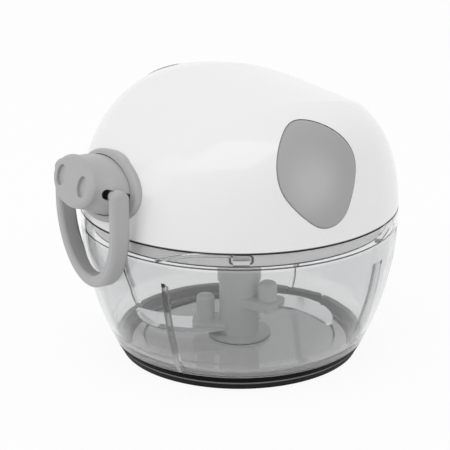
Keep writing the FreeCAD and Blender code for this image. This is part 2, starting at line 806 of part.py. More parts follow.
def make_cord_reel():
    low = reel_bottom
    bore = axle_radius + running_gap
    ratchet_low = low - ratchet_height
    ratchet_skirt = ratchet_outer + ratchet_wall
    cup_top = reel_top + spring_cup_height
    cup_inner = spring_cup_radius - spring_wall
    profile = [(bore, low + hub_recess), (ratchet_outer, low + hub_recess),
               (ratchet_outer, ratchet_low), (ratchet_skirt, ratchet_low),
               (ratchet_skirt, low), (reel_flange_radius, low),
               (reel_flange_radius, reel_groove_z), (reel_core_radius, reel_groove_z),
               (reel_core_radius, groove_top), (reel_flange_radius, groove_top),
               (reel_flange_radius, reel_top), (spring_cup_radius, reel_top),
               (spring_cup_radius, cup_top), (cup_inner, cup_top),
               (cup_inner, reel_top), (bore, reel_top)]
    body = polygon([V(r, 0, z) for r, z in profile]).revolve(V(0, 0, 0), V(0, 0, 1), 360)
    shapes = [body]
    pitch = 360 / ratchet_teeth
    root = ratchet_outer + ratchet_wall / 4
    for i in range(ratchet_teeth):
        x0, y0 = polar(root, pitch * i)
        x1, y1 = polar(ratchet_outer - ratchet_depth, pitch * i)
        x2, y2 = polar(root, pitch * (i + ratchet_slope))
        tooth = polygon([V(x0, y0, ratchet_low), V(x1, y1, ratchet_low), V(x2, y2, ratchet_low)])
        shapes.append(tooth.extrude(V(0, 0, ratchet_height + hub_recess)))
    reel = joined(shapes)
    for i in range(lightening_count):
        x, y = polar(lightening_circle, 360 / lightening_count * i)
        reel = reel.cut(cylinder(lightening_radius, low, reel_top, x, y))
    keep("cord_reel", reel)


def make_cord():
    # The turns on the reel, and the run from them to the eyelet in the collar.
    low = reel_groove_z + winding_gap
    high = groove_top - winding_gap
    turns = tube(wound_radius, reel_core_radius, low, high)
    for i in range(1, wound_rows):
        height = low + (high - low) / wound_rows * i
        crease = Part.makeTorus(wound_radius + winding_crease / 2, winding_crease, V(0, 0, height))
        turns = turns.cut(crease)
    keep("wound_cord", turns)

    mouth = snout_place.multVec(V(0, 0, spigot_end - eyelet_radius))
    end = snout_place.multVec(V(0, 0, seat_along - cord_radius))
    run_radius = wound_radius + lead_gap + cord_radius
    reach = math.hypot(mouth.x, mouth.y)
    leave = math.degrees(math.atan2(mouth.y, mouth.x)) + math.degrees(math.acos(run_radius / reach))
    x, y = polar(run_radius, leave)
    keep("cord_lead", bent_cord(V(x, y, groove_middle_z), mouth, end))


def bent_cord(start, corner, end):
    first = (corner - start).normalize()
    second = (end - corner).normalize()
    turn = first.getAngle(second)
    shorter = min((corner - start).Length, (end - corner).Length)
    setback = 0.45 * shorter
    a = corner - first * setback
    b = corner + second * setback
    bisector = (second - first).normalize()
    radius = setback / math.tan(turn / 2)
    centre = corner + bisector * (radius / math.cos(turn / 2))
    middle = centre - bisector * radius
    path = Part.Wire([line(start, a), arc_through(a, middle, b), line(b, end)])
    section = Part.Wire(Part.Circle(start, first, cord_radius).toShape())
    return path.makePipeShell([section], True, True)


def make_rewind_spring():
    # Flat spiral of half circles: its inner end hooks into the axle's slit, its outer
    # end lies by the cup.
    low = reel_top + spring_lift
    inner = axle_radius + spring_gap
    outer = spring_cup_radius - spring_wall - spring_play
    growth = (outer - inner) / spring_turns / 2
    outside = []
    inside = []
    for i in range(2 * spring_turns):
        side = 1 if i % 2 == 0 else -1
        start = inner + growth * i
        end = start + growth
        radius = (start + end) / 2
        middle_y = side * (start - end) / 2
        for edges, offset in ((outside, spring_strip / 2), (inside, -spring_strip / 2)):
            reach = radius + offset
            edges.append(arc_through(V(0, middle_y + side * reach, low),
                                     V(-side * reach, middle_y, low),
                                     V(0, middle_y - side * reach, low)))
    first_out = outside[0].Vertexes[0].Point
    first_in = inside[0].Vertexes[0].Point
    last_out = outside[-1].Vertexes[-1].Point
    last_in = inside[-1].Vertexes[-1].Point
    outline = Part.Wire(outside + [line(last_out, last_in)] + inside[::-1] + [line(first_in, first_out)])
    strip = Part.Face(outline).extrude(V(0, 0, spring_height))
    half = spring_strip / 2
    hook = box(-half, -axle_radius / 2, low, half, inner + half, low + spring_height)
    keep("rewind_spring", strip.fuse(hook).removeSplitter())


def make_drive():
    # Socket that takes the blade column's wings, with the pawls on its flange.
    flange_low = cover_top + socket_lift
    flange_top = flange_low + socket_flange_height
    pawl_low = flange_top + running_gap
    bore_top = column_top + tip_height + dog_recess
    sleeve = cylinder(socket_radius, socket_bottom, flange_top)
    flange = cylinder(socket_flange_radius, flange_low, flange_top)
    socket = sleeve.fuse(flange).removeSplitter()
    socket = socket.cut(cylinder(socket_bore, socket_bottom, bore_top))
    for i in range(dog_count):
        dog = sector((socket_bore + socket_radius) / 2, dog_half_angle, socket_bottom + dog_recess,
                     bore_top + dog_recess, 90 + 360 / dog_count * i)
        socket = socket.fuse(dog.cut(cylinder(dog_inner, socket_bottom, bore_top)))
    shapes = [socket.removeSplitter()]
    pawls = []
    for i in range(pawl_count):
        angle = 360 / pawl_count * i
        x, y = polar(pawl_pin_circle, angle)
        shapes.append(cylinder(pawl_pin_radius, flange_top - socket_lift, pawl_low + pawl_thickness, x, y))
        pawls.append(turned(pawl(pawl_low), angle))
    keep("drive_socket", joined(shapes))
    keep("drive_pawls", Part.makeCompound(pawls))


def pawl(low):
    # A finger on a pin, its end short of the ratchet's teeth.
    ring = cylinder(pawl_boss_radius, low, low + pawl_thickness, pawl_pin_circle)
    reach = ratchet_outer - ratchet_depth - pawl_clearance
    tip_x, tip_y = polar(reach, pawl_angle)
    tail_x, tail_y = polar(reach - pawl_tail, pawl_angle + pawl_width_angle)
    outer_x, outer_y = polar(pawl_boss_radius, 15)
    inner_x, inner_y = polar(pawl_boss_radius, 135)
    finger = polygon([V(pawl_pin_circle + outer_x, outer_y, low), V(tip_x, tip_y, low),
                      V(tail_x, tail_y, low), V(pawl_pin_circle + inner_x, inner_y, low)])
    body = ring.fuse(finger.extrude(V(0, 0, pawl_thickness))).removeSplitter()
    bore = cylinder(pawl_pin_radius + running_gap, low, low + pawl_thickness, pawl_pin_circle)
    return body.cut(bore)


# ---------------------------------------------------------------- snout
def oval(half_width, half_height, s):
    # Ellipse across the pull line, at distance s along it.
    centre = V(0, 0, s)
    side = V(half_width, 0, s)
    top = V(0, half_height, s)
    ends = (side, top) if half_width > half_height else (top, side)
    return Part.Wire(Part.Ellipse(*ends, centre).toShape())


def oval_prism(half_width, half_height, low, high):
    return Part.Face(oval(half_width, half_height, low)).extrude(V(0, 0, high - low))


def knob_section(level, inset):
    # The knob narrows behind its brow and flares again towards the collar.
    s = knob_deep + (knob_face - knob_deep) * level
    brow_start = knob_face - knob_brow
    behind = min(max(1 - s / brow_start, 0), 1)
    flare = math.sin(math.pi / 2 * behind)
    waist = knob_waist * max(1 - abs(s - brow_start) / knob_brow, 0)
    half_width = knob_half_width + knob_flare * flare - waist - inset
    half_height = knob_half_height + knob_flare_up * flare - waist / 2 - inset
    return oval(half_width, half_height, s)


def knob_body(inset, end):
    # The knob's outline as a solid, up to the given distance along the pull line.
    sections = [knob_section(i / knob_spans, inset) for i in range(knob_spans + 1)]
    block = oval_prism(collar_half_width, collar_half_height, knob_deep, end)
    return Part.makeLoft(sections, True, False).common(block)


def make_collar(outer):
    # An oval flange that hugs the lid, with a shallow seat for the knob and a spigot
    # through the lid's front wall.
    block = oval_prism(collar_half_width, collar_half_height, -collar_half_width, knob_face)
    flange = on_snout(block).common(rounded_body(-collar_proud))
    rim = [edge for edge in flange.Edges if edge.BoundBox.YMin < snout_y - collar_proud]
    flange = flange.makeFillet(collar_rounding, rim)
    seat_half = (knob_back_width + seat_play, knob_back_height + seat_play)
    seat = on_snout(oval_prism(*seat_half, -collar_half_height, knob_face))
    seat = seat.cut(rounded_body(-seat_skin))
    reach = rim_radius + collar_half_height
    below = box(-reach, -reach, 0, reach, 0, lid_base + collar_lift)
    spigot = cylinder(spigot_radius, spigot_end, seat_along)
    collar = flange.cut(outer).cut(below).fuse(on_snout(spigot)).cut(seat).removeSplitter()
    bore = cylinder(eyelet_radius, spigot_end, knob_face)
    keep("cord_collar", collar.cut(on_snout(bore)))
    eyelet = tube(eyelet_radius, eyelet_bore, spigot_end - lip_thickness, seat_along)
    lip = tube(eyelet_lip, eyelet_bore, spigot_end - lip_thickness, spigot_end)
    keep("cord_eyelet", on_snout(eyelet.fuse(lip).removeSplitter()))
    retainer_low = retainer_along - retainer_thickness
    retainer = tube(retainer_radius, spigot_radius, retainer_low, retainer_along)
    half = retainer_slit / 2
    for angle in (45, 135, 225, 315):
        slit = box(0, -half, retainer_low, (spigot_radius + 2 * retainer_radius) / 3, half, retainer_along)
        retainer = retainer.cut(turned(slit, angle))
    keep("collar_retainer", on_snout(retainer))


def make_knob():
    # A hollow shell whose back hugs the collar, closed by the base that holds the knot.
    body = knob_body(0, knob_face)
    rim = [edge for edge in body.Edges if edge.BoundBox.ZMin > knob_face - knob_rounding / 4]
    body = body.makeFillet(knob_rounding, rim)
    hollow = knob_body(knob_wall, knob_face - knob_wall)
    body = body.cut(hollow)
    for side in (-1, 1):
        nostril = oval_prism(nostril_half_width, nostril_half_height,
                             knob_face - nostril_depth, knob_face + cut_margin)
        nostril.translate(V(side * nostril_spacing / 2, 0, 0))
        body = body.cut(nostril)
    half = slot_height / 2
    reach = knob_back_width + cut_margin
    slot = box(-reach, -half, knob_deep, reach, half, slot_end - half)
    round_end = Part.makeCylinder(half, 2 * reach, V(-reach, 0, slot_end - half), V(1, 0, 0))
    shell = on_snout(body.cut(slot.fuse(round_end)))
    keep("pull_knob", shell.cut(rounded_body(-seat_skin - knob_gap)))

    base_high = knob_back + knob_base_thickness
    core_high = knob_face - knob_wall - core_gap
    plug = hollow.common(oval_prism(collar_half_width, collar_half_height, knob_back, base_high))
    core = box(-core_half_width, -core_half_height, knob_back, core_half_width, core_half_height, core_high)
    pocket_low = knob_back + knot_floor
    pocket = cylinder(knot_radius + cord_clearance, pocket_low, core_high)
    cord_hole = cylinder(cord_radius + cord_clearance, knob_back, pocket_low)
    keep("knob_base", on_snout(joined([plug, core]).cut(pocket).cut(cord_hole)))

    knot_middle = pocket_low + knot_radius
    knot = Part.makeSphere(knot_radius, V(0, 0, knot_middle))
    stub = cylinder(cord_radius, seat_along - cord_radius + knob_gap, knot_middle)
    keep("knob_cord", on_snout(knot.fuse(stub).removeSplitter()))


def pull_ring_outline(half_width, straight, bow):
    # U lying in the X-Z plane, with its pivot at the origin and rounded tops.
    return [line(V(half_width, 0, 0), V(half_width, 0, -straight)),
            bow_arc(half_width, straight, bow),
            line(V(-half_width, 0, -straight), V(-half_width, 0, 0))]


def bow_arc(half_width, straight, bow):
    # Lower half of an ellipse, from the right arm round to the left one.
    centre = V(0, 0, -straight)
    if bow >= half_width:
        ellipse = Part.Ellipse(centre + V(0, 0, -bow), centre + V(half_width, 0, 0), centre)
        return Part.Arc(ellipse, -math.pi / 2, math.pi / 2).toShape()
    ellipse = Part.Ellipse(centre + V(half_width, 0, 0), centre + V(0, 0, -bow), centre)
    return Part.Arc(ellipse, 0, math.pi).toShape()


def make_pull_ring():
    outer_half = ring_inner_half + ring_thickness
    outer = Part.Wire(pull_ring_outline(outer_half, ring_straight, ring_bow)
                      + [line(V(-outer_half, 0, 0), V(outer_half, 0, 0))])
    inner_bow = ring_bow - ring_thickness
    inner = Part.Wire(pull_ring_outline(ring_inner_half, ring_straight, inner_bow)
                      + [line(V(-ring_inner_half, 0, 0), V(ring_inner_half, 0, 0))])
    flat = Part.Face(outer).cut(Part.Face(inner))
    bail = flat.extrude(V(0, ring_width, 0))
    bail.translate(V(0, -ring_width / 2, 0))
    shapes = [bail]
    for side in (-1, 1):
        inner_x = side * ring_inner_half
        head = Part.makeCylinder(ring_width / 2, ring_thickness, V(inner_x, 0, 0), V(side, 0, 0))
        shapes.append(head)
    ring = joined(shapes)
    edges = []
    for edge in ring.Edges:
        size = edge.BoundBox
        flat_side = size.YLength < flat_within or size.XLength < flat_within
        head = size.ZMin > -flat_within and size.XLength < flat_within
        if flat_side and size.YLength < ring_width - flat_within or head:
            edges.append(edge)
    ring = ring.makeFillet(ring_rounding, edges)
    for side in (-1, 1):
        start = V(side * (ring_inner_half + ring_thickness / 2), 0, 0)
        pin = Part.makeCylinder(trunnion_radius, trunnion_reach + ring_thickness / 2, start, V(-side, 0, 0))
        ring = ring.fuse(pin)
    pivot = snout_place.multVec(V(0, 0, pivot_along))
    ring.translate(pivot)
    relief = cylinder(rim_radius + ring_relief, 0, lid_base)
    keep("pull_ring", ring.cut(relief).removeSplitter())


# ---------------------------------------------------------------- build
def build():
    make_bowl()
    make_foot_ring()
    make_pivot_pin()
    make_blade_set()
    outer = make_lid()
    make_lid_seal()
    make_mechanism_cover()
    make_screws()
    make_reel_bridge()
    make_reel_axle()
    make_cord_reel()
    make_cord()
    make_rewind_spring()
    make_drive()
    make_collar(outer)
    make_knob()
    make_pull_ring()
    os.makedirs("parts", exist_ok=True)
    for name, shape in parts.items():
        shape.exportStep("parts/" + name + ".step")
        size = shape.BoundBox
        print(name, len(shape.Solids), round(shape.Volume / 1000, 2), shape.isValid(),
              [round(v, 1) for v in (size.XMin, size.YMin, size.ZMin, size.XMax, size.YMax, size.ZMax)])


build()
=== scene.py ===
import json
import math

import bmesh
import bpy
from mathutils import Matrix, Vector


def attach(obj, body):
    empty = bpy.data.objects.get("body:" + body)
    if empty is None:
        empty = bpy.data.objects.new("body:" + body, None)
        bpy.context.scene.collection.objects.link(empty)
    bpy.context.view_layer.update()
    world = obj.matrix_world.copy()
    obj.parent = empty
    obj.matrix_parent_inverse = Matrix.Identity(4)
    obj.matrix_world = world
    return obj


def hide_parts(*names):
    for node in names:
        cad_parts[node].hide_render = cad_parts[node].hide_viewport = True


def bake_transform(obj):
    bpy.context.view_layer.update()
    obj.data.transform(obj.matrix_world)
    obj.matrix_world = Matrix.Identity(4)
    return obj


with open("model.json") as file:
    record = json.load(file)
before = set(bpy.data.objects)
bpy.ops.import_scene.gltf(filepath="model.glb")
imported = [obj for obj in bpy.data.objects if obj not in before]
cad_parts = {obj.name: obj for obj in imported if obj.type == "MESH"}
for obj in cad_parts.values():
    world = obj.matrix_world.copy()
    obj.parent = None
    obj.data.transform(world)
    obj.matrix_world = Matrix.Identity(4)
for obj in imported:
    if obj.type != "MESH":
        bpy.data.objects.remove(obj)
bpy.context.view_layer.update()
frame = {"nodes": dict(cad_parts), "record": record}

MM = 0.001


# ---------------------------------------------------------------- sizes of the chopper, millimetres
# Bowl
RIM_RADIUS = 65.0            # outside of the bowl and of the lid where they meet
BELLY_HEIGHT = 60.0          # where the bowl's side is widest
BELLY_ARC = 119.0            # radius of the bowl's side, seen from the side
FLOOR_TOP = 4.0
CORNER_START = 46.0          # radius where the rounding from floor to side starts
CORNER_TOP = 13.8            # and height where it ends
FIN_TOP = 50.0
FIN_REACH = 4.6              # from the bowl's outer side to a fin's inner edge
LEDGE_HEIGHT = 55.8          # where the bowl's thinner rim starts
RIM_INSIDE = 63.5            # radius of the rim's inner face
DISC_LOW = 4.3               # underside of the blade set's disc

# Foot
FOOT_HEIGHT = 6.4
FOOT_DEPTH = 2.6             # how far the rubber is let into the bowl's side
FOOT_SOLE = 1.8              # rubber under the bowl
FOOT_WIDTH = 3.4             # on the table
FOOT_BITE = 0.1              # the rubber goes this far into the clear wall
FOOT_LIFT = 0.04             # this far up into its shoulder
SOLE_LIFT = 0.05             # and this far up into its base
GROOVE_HEIGHT = 3.2          # middle of the groove

# Corners of the foot's toe: a height on the bowl's side, how far in from there, and the corner's height
FOOT_TOE = ((0.0, 0.9, 0.0), (0.3, 0.42, 0.06), (0.6, 0.14, 0.3), (0.75, 0.03, 0.6))
# of its flank with the groove: height, and how far in from the bowl's side
FOOT_FLANK = ((0.9, 0.0), (1.7, 0.0), (2.45, 0.0), (2.7, 0.06), (3.0, 0.36), (3.2, 0.48), (3.4, 0.36),
              (3.7, 0.06), (3.95, 0.0), (4.8, 0.0), (5.6, 0.0), (6.25, 0.0))
# and of its lip: how far in from the bowl's side, and how far above the foot's height
FOOT_LIP = ((0.04, -0.03), (0.2, 0.04))

# Lid
LID_BASE = 63.0
DOME_HEIGHT = 49.1           # height at which the rounded body would close
SIDE_RISE = 6.0              # how late the left and right sides turn in
SIDE_FULLNESS = 4.3
END_RISE = 1.9               # how late the front and back turn in
END_FULLNESS = 2.96
CROWN_SHIFT = 3.4            # the crown sits this far behind the axis

# Grip pads, as an egg seen from the side
PAD_TOP = (16.6, -2.2, 92.4)        # radius, y and z of the large circle
PAD_LOW = (10.3, 0.9, 80.5)         # and of the small one
PAD_FLANK = 48.0                    # radius of the flanks that join them
PAD_ARC_STEPS = 28                  # in each of the four arcs
PAD_MIDDLE = (-6.0, 88.0)           # y and z of the middle of the painted sheen
# Rings of the pad's rolled edge: how far in from its outline, and how far above the lid's surface
PAD_EDGE = ((0.0, -1.0), (0.0, -0.2), (0.06, 0.05), (0.19, 0.24), (0.38, 0.37), (0.62, 0.43), (0.95, 0.45))
PAD_FACE = (0.9, 0.78, 0.62, 0.44, 0.24, 0.08)      # and of its face, as shares of the outline

# Mechanism cover and its lugs
SKIRT_LOW = 56.0                    # lower edge of the cover's skirt
SKIRT_RADIUS = 60.4
LUG_ANGLE = math.radians(-29.8)     # polar angle of the first of four
LUG_LOW = 57.5
LUG_LINE_WIDTH = 4.6                # half the width and half the height of the line round a lug
LUG_LINE_HEIGHT = 2.0
LUG_LINE_MIDDLE = 59.1

# Cord
SNOUT = Vector((0.0, -60.905, 79.3))    # where the pull line leaves the lid
CORD_START = 1.3                        # from there along the pull line
CORD_END = 5.6
CORD_RADIUS = 0.85
CORD_SIDES = 16
CORD_RINGS = 160


def bowl_side(height):
    """Radius of the bowl's outer side at a height, which is a number or a shader's value."""
    drop = BELLY_HEIGHT - height
    return (BELLY_ARC ** 2 - drop * drop) ** 0.5 + (RIM_RADIUS - BELLY_ARC)


def steps(start, end, count):
    """Evenly spaced values from start to end, with both."""
    return [start + (end - start) * i / count for i in range(count + 1)]


LINING = bowl_side(FOOT_HEIGHT) - FOOT_DEPTH    # radius of the foot's lining, where the bowl sits in it


# ---------------------------------------------------------------- shader expressions
class Value:
    """A socket that takes part in expressions; each operation adds its Math node."""

    def __init__(self, socket):
        self.socket = socket
        self.tree = socket.id_data

    def join(self, operation, first, second):
        node = self.tree.nodes.new("ShaderNodeMath")
        node.operation = operation
        for slot, value in zip(node.inputs, (first, second)):
            plug(self.tree, slot, value)
        return Value(node.outputs[0])

    def __add__(self, other):
        return self.join("ADD", self, other)

    def __radd__(self, other):
        return self.join("ADD", other, self)

    def __sub__(self, other):
        return self.join("SUBTRACT", self, other)

    def __rsub__(self, other):
        return self.join("SUBTRACT", other, self)

    def __mul__(self, other):
        return self.join("MULTIPLY", self, other)

    def __rmul__(self, other):
        return self.join("MULTIPLY", other, self)

    def __pow__(self, other):
        return self.join("POWER", self, other)

    def lower_of(self, other):
        return self.join("MINIMUM", self, other)

    def higher_of(self, other):
        return self.join("MAXIMUM", self, other)


def plug(tree, slot, value):
    """Link a value to a slot, or set the slot where it is a plain number or colour."""
    if isinstance(value, Value):
        tree.links.new(value.socket, slot)
    else:
        slot.default_value = value


class Finish:
    """A material on its shader's sockets, and one method that adds any other node."""

    def __init__(self, name, **sockets):
        self.material = bpy.data.materials.new(name)
        self.material.use_nodes = True
        self.tree = self.material.node_tree
        self.shader = self.tree.nodes["Principled BSDF"]
        self.set(**sockets)

    def set(self, **sockets):
        for name, value in sockets.items():
            plug(self.tree, self.shader.inputs[name.replace("_", " ")], value)

    def node(self, kind, output, settings=None, **sockets):
        """A node's output, after its settings and the values or links of its sockets."""
        node = self.tree.nodes.new(kind)
        for name, value in (settings or {}).items():
            setattr(node, name, value)
        for name, value in sockets.items():
            plug(self.tree, node.inputs[name.replace("_", " ")], value)
        return Value(node.outputs[output])

    def place(self):
        """Where on the chopper a point lies, in metres."""
        return self.node("ShaderNodeTexCoord", "Object")

    def along(self, axis):
        """One coordinate of the place, in millimetres."""
        return self.node("ShaderNodeSeparateXYZ", axis, Vector=self.place()) * (1 / MM)

    def height(self):
        return self.along("Z")

    def radius(self):
        """Distance from the chopper's upright axis, in millimetres."""
        x, y = self.along("X"), self.along("Y")
        return (x * x + y * y) ** 0.5

    def clouds(self, per_metre, detail=2.0):
        return self.node("ShaderNodeTexNoise", "Fac", Vector=self.place(), Scale=per_metre, Detail=detail)

    def ramp(self, value, low, high):
        """A smooth rise from 0 where the value is low to 1 where it is high."""
        return self.node("ShaderNodeMapRange", "Result", {"interpolation_type": "SMOOTHSTEP"},
                         Value=value, From_Min=low, From_Max=high)

    def mixed(self, factor, first, second):
        """A colour between two; a Mix node holds its colours' sockets after those for numbers."""
        node = self.tree.nodes.new("ShaderNodeMix")
        node.data_type = "RGBA"
        plug(self.tree, node.inputs["Factor"], factor)
        for slot, colour in zip((node.inputs[6], node.inputs[7]), (first, second)):
            plug(self.tree, slot, colour if isinstance(colour, Value) else (*colour, 1.0))
        return Value(node.outputs[2])

    def uneven(self, low, high, per_metre=45, detail=3.0):
        """A grey that wanders faintly between two levels."""
        return self.mixed(self.clouds(per_metre, detail), grey(low), grey(high))

    def relief(self, height, depth):
        """Bumps that deep, in millimetres."""
        bump = self.node("ShaderNodeBump", "Normal", Height=height, Distance=depth * MM, Strength=1.0)
        self.set(Normal=bump)


def grey(level):
    return (level, level, level)


# ---------------------------------------------------------------- finishes
def moulded(name, level, roughness, grain, grain_depth):
    """Moulded plastic: a faintly uneven tone, and the fine grain of its mould."""
    finish = Finish(name)
    finish.set(Base_Color=finish.uneven(level * 0.98, level * 1.02))
    finish.set(Roughness=roughness + (finish.clouds(260) - 0.5) * (0.12 * roughness))
    finish.relief(finish.clouds(grain, 3.0), grain_depth)
    return finish.material


def clear_plastic():
    """Clear plastic, darker in the floor that lies on the dark sole, with painted shade along the fins'
    edges.
    """
    finish = Finish("clear_plastic", IOR=1.47, Transmission_Weight=1.0)
    height, radius = finish.height(), finish.radius()
    side_tone = finish.mixed(finish.clouds(30), (0.74, 0.745, 0.75), (0.77, 0.775, 0.78))
    off_floor = finish.ramp(height, FLOOR_TOP + 0.4, FLOOR_TOP + 2.5)
    off_floor = off_floor + (1 - off_floor) * finish.ramp(radius, LINING - 0.85, LINING - 0.25)
    rim = finish.ramp(height, LEDGE_HEIGHT - 1.3, LEDGE_HEIGHT + 0.2)
    tone = finish.mixed(rim, finish.mixed(off_floor, grey(0.33), side_tone), grey(0.985))
    # Painted light: a paler ring where the floor rounds up into the side.
    below_side = 1 - finish.ramp(height, CORNER_TOP - 1.8, CORNER_TOP + 1.2)
    corner = finish.ramp(radius, CORNER_START - 0.5, CORNER_START + 1) * below_side
    tone = finish.mixed(corner, tone, grey(0.85))
    # Painted shade: dark along the fins' inner edges, darkest towards their tops.
    within_side = 1 - finish.ramp(radius - bowl_side(height), 0.7 - FIN_REACH, 1.1 - FIN_REACH)
    fin_edge_shade = within_side * finish.ramp(height, CORNER_TOP + 0.7, CORNER_TOP + 1.7) * (1 - rim)
    fin_shade_tone = finish.mixed(finish.ramp(height, FIN_TOP - 5, FIN_TOP - 2), grey(0.20), grey(0.02))
    tone = finish.mixed(fin_edge_shade, tone, fin_shade_tone)
    # Painted shadow: a thin dark line on the inner wall just above the ledge.
    ledge_shadow = finish.ramp(height, LEDGE_HEIGHT + 0.1, LEDGE_HEIGHT + 0.2)
    ledge_shadow = ledge_shadow * (1 - finish.ramp(height, LEDGE_HEIGHT + 0.65, LEDGE_HEIGHT + 0.7))
    ledge_shadow = ledge_shadow * (1 - finish.ramp(radius, RIM_INSIDE + 0.4, RIM_INSIDE + 0.5))
    finish.set(Base_Color=finish.mixed(ledge_shadow, tone, grey(0.03)))
    finish.set(Roughness=0.015 + finish.clouds(180) * 0.03)
    return finish.material


def foot_rubber():
    """Dark rubber with a painted highlight along its groove, and pale with painted light where it wraps
    the clear bowl.
    """
    finish = Finish("foot_rubber", Specular_IOR_Level=0.03)
    height = finish.height()
    # Painted light: the lining round the clear bowl and the foot's top face are pale, not dark rubber.
    inside = 1 - finish.ramp(finish.radius(), LINING + 0.05, LINING + 0.13)
    lining = inside * finish.ramp(height, FOOT_SOLE - 0.1, FOOT_SOLE - 0.01)
    lining = lining + finish.ramp(height, FOOT_HEIGHT - 0.07, FOOT_HEIGHT - 0.02)
    # Painted highlight: a pale line along the groove, where light catches it.
    groove = finish.ramp(height, GROOVE_HEIGHT - 0.5, GROOVE_HEIGHT - 0.1)
    groove = groove * (1 - finish.ramp(height, GROOVE_HEIGHT + 0.2, GROOVE_HEIGHT + 0.6))
    above_groove = finish.ramp(height, GROOVE_HEIGHT, GROOVE_HEIGHT + 0.4)
    dark = finish.mixed(above_groove, finish.uneven(0.014, 0.024, 60, 2.0), grey(0.003))
    with_groove_highlight = finish.mixed(groove, dark, grey(0.30))
    finish.set(Base_Color=finish.mixed(lining, with_groove_highlight, grey(0.82)))
    finish.set(Roughness=0.42 + finish.clouds(240) * 0.12)
    finish.relief(finish.clouds(1200, 3.0), 0.02)
    return finish.material


def glossy_lid():
    """Glossy white plastic, with the shadow of the seam along its lower edge."""
    finish = Finish("glossy_lid", Coat_Roughness=0.08)
    off_seam = finish.ramp(finish.height(), LID_BASE + 0.2, LID_BASE + 0.3)
    finish.set(Base_Color=finish.mixed(off_seam, grey(0.10), finish.uneven(0.82, 0.83)))
    finish.set(Roughness=0.16 + finish.clouds(160) * 0.03)
    finish.set(Coat_Weight=0.33 + finish.clouds(12) * 0.04)
    finish.relief(finish.clouds(900, 3.0), 0.004)
    return finish.material


def lug_outline(finish):
    """The dark line round each of the four lugs on the cover's skirt, and along a lug's lower edge."""
    x, y, height = finish.along("X"), finish.along("Y"), finish.height()
    off_one_pair = y * math.cos(LUG_ANGLE) - x * math.sin(LUG_ANGLE)
    off_other_pair = y * math.sin(LUG_ANGLE) + x * math.cos(LUG_ANGLE)
    nearest = (off_one_pair * off_one_pair).lower_of(off_other_pair * off_other_pair)
    across = nearest * LUG_LINE_WIDTH ** -2
    level = (height - LUG_LINE_MIDDLE) * (1 / LUG_LINE_HEIGHT)
    upright = level * level
    away = (across * across + upright * upright) ** 0.25
    line = finish.ramp(away, 0.80, 0.85) * (1 - finish.ramp(away, 1.0, 1.05))
    on_lug = finish.ramp(finish.radius(), SKIRT_RADIUS + 0.8, SKIRT_RADIUS + 1.1)
    lower_edge = on_lug * (1 - finish.ramp(height, LUG_LOW + 0.3, LUG_LOW + 0.45))
    return line.higher_of(lower_edge)


def cover_plastic():
    """White plastic of the mechanism cover, with the shadows along its lower edge and round its lugs."""
    finish = Finish("cover_plastic", Roughness=0.32)
    above_edge = finish.ramp(finish.height(), SKIRT_LOW + 0.45, SKIRT_LOW + 0.65)
    white = above_edge * (1 - lug_outline(finish))
    finish.set(Base_Color=finish.mixed(white, grey(0.03), finish.uneven(0.955, 0.975)))
    finish.relief(finish.clouds(1100, 3.0), 0.01)
    return finish.material


def hub_plastic():
    """Pale moulded plastic of the blade set, with the shadow under its disc."""
    finish = Finish("hub_plastic")
    above_shadow = finish.ramp(finish.height(), DISC_LOW + 0.35, DISC_LOW + 0.5)
    finish.set(Base_Color=finish.mixed(above_shadow, grey(0.02), finish.uneven(0.83, 0.87)))
    finish.set(Roughness=0.32 + finish.clouds(260) * 0.04)
    finish.relief(finish.clouds(1500, 3.0), 0.01)
    return finish.material


def soft_grip():
    """Soft-touch pad: fine leathery grain, paler in the middle with a painted sheen."""
    finish = Finish("soft_grip", Sheen_Weight=0.15)
    back, up = finish.along("Y") - PAD_MIDDLE[0], finish.height() - PAD_MIDDLE[1]
    # Painted sheen: paler towards the middle of the pad.
    painted_sheen = 1 - finish.ramp((back * back + up * up) ** 0.5, 2, 17)
    finish.set(Base_Color=finish.mixed(painted_sheen, finish.uneven(0.345, 0.365, 90, 2.0), grey(0.46)))
    finish.set(Roughness=0.55 + finish.clouds(2400) * 0.15)
    finish.relief(finish.clouds(2600, 3.0), 0.06)
    return finish.material


def ground_steel():
    """Ground steel, its fine lines lying level."""
    finish = Finish("ground_steel", Metallic=1.0)
    stretched = finish.node("ShaderNodeMapping", "Vector", Vector=finish.place(), Scale=(1.0, 1.0, 14.0))
    lines = finish.node("ShaderNodeTexNoise", "Fac", Vector=stretched, Scale=900.0, Detail=3.0)
    finish.set(Base_Color=finish.uneven(0.893, 0.95, 120, 2.0))
    finish.set(Roughness=0.10 + lines * 0.12)
    finish.relief(lines, 0.02)
    return finish.material


def braided_cord():
    """Pale cord with the light and dark of its strands."""
    finish = Finish("braided_cord", Roughness=0.85)
    strands = finish.node("ShaderNodeTexWave", "Fac", Vector=finish.place(), Scale=260.0, Distortion=3.0)
    finish.set(Base_Color=finish.mixed(strands, grey(0.55), grey(0.80)))
    finish.relief(strands, 0.2)
    return finish.material


CLEAR = clear_plastic()
LID_WHITE = glossy_lid()
GRIP = soft_grip()
KNOB = moulded("satin_knob", level=0.40, roughness=0.38, grain=1500, grain_depth=0.012)
FOOT = foot_rubber()
HUB = hub_plastic()
# Near-black seal: its dark line in the seam is partly painted shade for the gap between lid and bowl.
SEAL = moulded("seal_silicone", level=0.012, roughness=0.5, grain=1200, grain_depth=0.01)
COVER = cover_plastic()
NYLON = moulded("reel_nylon", level=0.55, roughness=0.42, grain=1400, grain_depth=0.01)
STEEL = ground_steel()
CORD = braided_cord()

